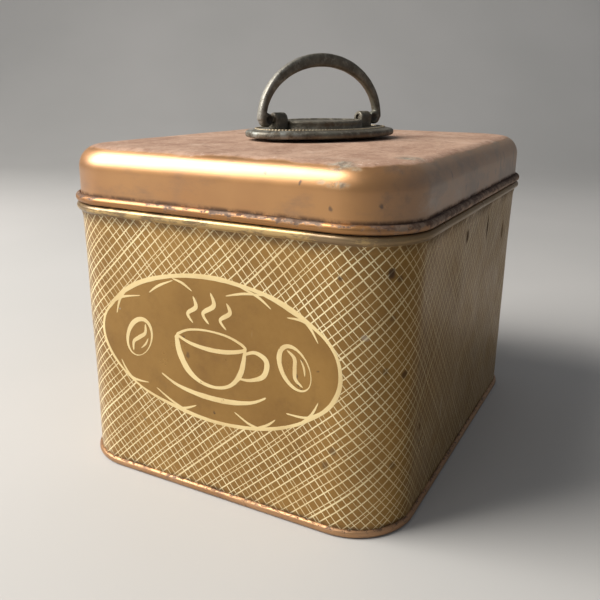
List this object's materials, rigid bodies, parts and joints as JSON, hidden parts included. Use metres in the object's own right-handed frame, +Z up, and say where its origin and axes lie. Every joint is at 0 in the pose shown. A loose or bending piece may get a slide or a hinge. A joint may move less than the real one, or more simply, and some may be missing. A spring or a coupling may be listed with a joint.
{
  "type": "coffee tin",
  "caption": "Rounded rectangular tinplate coffee tin with a flush slip lid and a swinging bail handle on an oval plate.",
  "frame": {"origin": "centre of the base rim, on the surface the tin stands on", "axes": "+Z up, label face towards -Y, long sides along Y, the narrower label face spans X"},
  "size_m": [0.134, 0.168, 0.1518],
  "materials": {
    "printed_tinplate": "satin lithographed ochre with a cream cross-hatch, worn",
    "copper_lacquer": "semi-gloss copper lacquer, worn",
    "copper_lid": "metallic copper lacquer, rusty on top",
    "bare_tinplate": "dull tinplate",
    "aged_brass": "dark aged, dull",
    "steel_fixings": "dull zinc"
  },
  "bodies": {
    "tin": {"body_wall": "printed_tinplate", "base_panel": "copper_lacquer", "neck_collar": "bare_tinplate"},
    "lid": {"lid_shell": "copper_lid", "handle_plate": "aged_brass", "plate_spacers": "aged_brass", "left_post": "aged_brass", "right_post": "aged_brass", "lid_washers": "steel_fixings", "lid_nuts": "steel_fixings"},
    "bail": {"bail": "aged_brass"}
  },
  "joints": [
    {"name": "lid_lift", "type": "slide", "parent": "tin", "child": "lid", "axis": [0, 0, 1], "range_m": [0, 0.05]},
    {"name": "bail_swing", "type": "hinge", "parent": "lid", "child": "bail", "pos_m": [-0.0007, 0, 0.127], "axis": [0.4226, 0.9063, 0], "range_deg": [-90, 90]}
  ]
}
